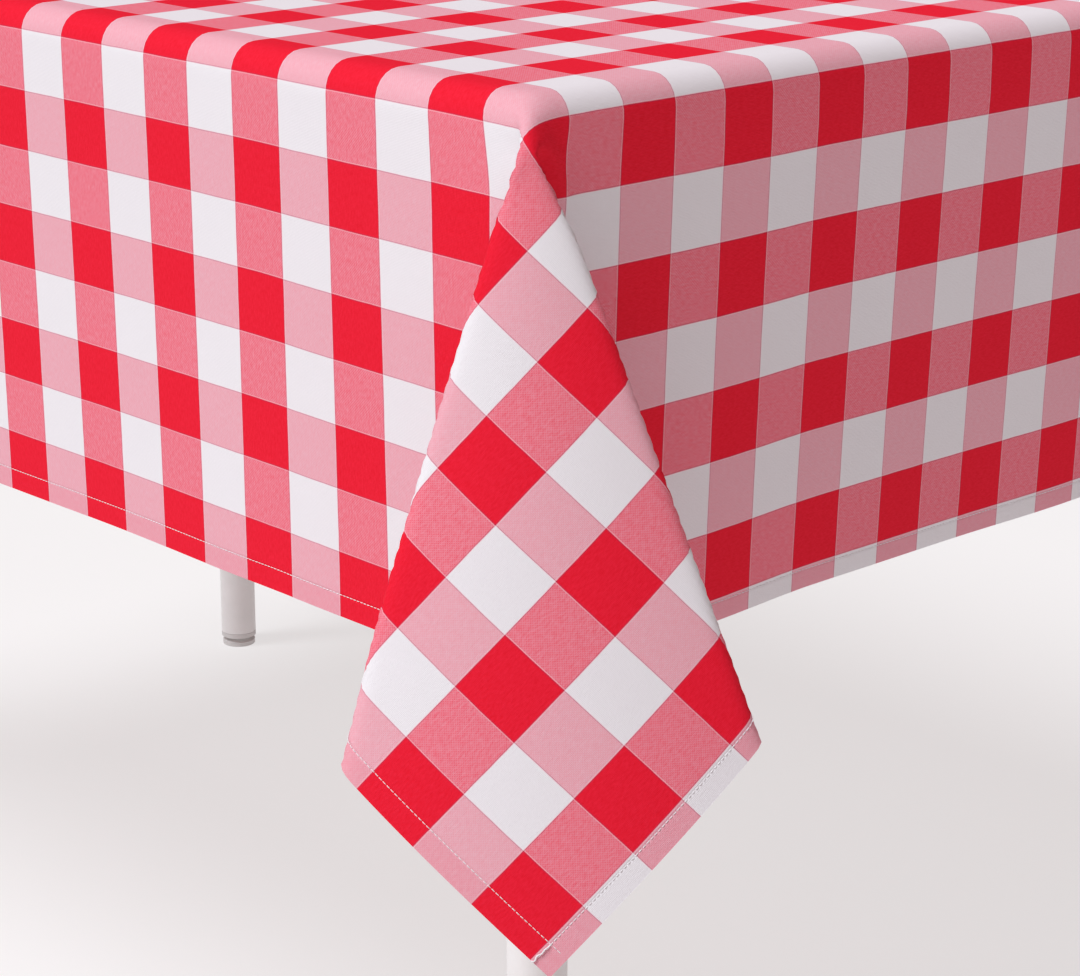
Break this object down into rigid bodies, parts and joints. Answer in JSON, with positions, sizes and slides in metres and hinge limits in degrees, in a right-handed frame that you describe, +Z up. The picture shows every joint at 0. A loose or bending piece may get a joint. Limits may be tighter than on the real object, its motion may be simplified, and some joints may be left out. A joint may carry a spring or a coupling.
{
  "type": "tablecloth on a table",
  "caption": "Checked rectangular cloth laid over a four-legged table, hanging down all sides with a loose pleat at each corner.",
  "frame": {"origin": "on the floor under the middle of the table", "axes": "+X along the table's length, +Y from the front to the back, +Z up"},
  "size_m": [1.4522, 0.974, 0.7455],
  "materials": {
    "cloth": "matte woven cotton in red and white checks",
    "thread": "white sewing thread",
    "board": "white laminate over particle board",
    "leg": "white powder coat",
    "foot": "light grey",
    "screw": "zinc plated"
  },
  "bodies": {
    "table": {"back_left_leg_plate": "leg", "back_left_leg_plug": "foot", "back_left_leg_screw_1": "screw", "back_left_leg_screw_2": "screw", "back_left_leg_screw_3": "screw", "back_left_leg_tube": "leg", "back_right_leg_plate": "leg", "back_right_leg_plug": "foot", "back_right_leg_screw_1": "screw", "back_right_leg_screw_2": "screw", "back_right_leg_screw_3": "screw", "back_right_leg_tube": "leg", "front_left_leg_plate": "leg", "front_left_leg_plug": "foot", "front_left_leg_screw_1": "screw", "front_left_leg_screw_2": "screw", "front_left_leg_screw_3": "screw", "front_left_leg_tube": "leg", "front_right_leg_plate": "leg", "front_right_leg_plug": "foot", "front_right_leg_screw_1": "screw", "front_right_leg_screw_2": "screw", "front_right_leg_screw_3": "screw", "front_right_leg_tube": "leg", "table_top_board": "board"},
    "cloth": {"back_hem": "cloth", "back_hem_thread": "thread", "cloth_back_drop": "cloth", "cloth_back_left_cap": "cloth", "cloth_back_left_end_return": "cloth", "cloth_back_left_outer_fold": "cloth", "cloth_back_left_side_return": "cloth", "cloth_back_right_cap": "cloth", "cloth_back_right_end_return": "cloth", "cloth_back_right_outer_fold": "cloth", "cloth_back_right_side_return": "cloth", "cloth_front_drop": "cloth", "cloth_front_left_cap": "cloth", "cloth_front_left_end_return": "cloth", "cloth_front_left_outer_fold": "cloth", "cloth_front_left_side_return": "cloth", "cloth_front_right_cap": "cloth", "cloth_front_right_end_return": "cloth", "cloth_front_right_outer_fold": "cloth", "cloth_front_right_side_return": "cloth", "cloth_left_drop": "cloth", "cloth_right_drop": "cloth", "cloth_top": "cloth", "front_hem": "cloth", "front_hem_thread": "thread", "left_hem": "cloth", "left_hem_thread": "thread", "right_hem": "cloth", "right_hem_thread": "thread"},
    "front_left_foot": {"front_left_levelling_foot": "foot"},
    "front_right_foot": {"front_right_levelling_foot": "foot"},
    "back_left_foot": {"back_left_levelling_foot": "foot"},
    "back_right_foot": {"back_right_levelling_foot": "foot"}
  },
  "joints": [
    {"name": "cloth_lift", "type": "slide", "parent": "table", "child": "cloth", "axis": [0, 0, 1], "range_m": [0, 0.42]},
    {"name": "front_left_foot_height", "type": "slide", "parent": "table", "child": "front_left_foot", "axis": [0, 0, -1], "range_m": [0, 0.01]},
    {"name": "front_right_foot_height", "type": "slide", "parent": "table", "child": "front_right_foot", "axis": [0, 0, -1], "range_m": [0, 0.01]},
    {"name": "back_left_foot_height", "type": "slide", "parent": "table", "child": "back_left_foot", "axis": [0, 0, -1], "range_m": [0, 0.01]},
    {"name": "back_right_foot_height", "type": "slide", "parent": "table", "child": "back_right_foot", "axis": [0, 0, -1], "range_m": [0, 0.01]}
  ]
}
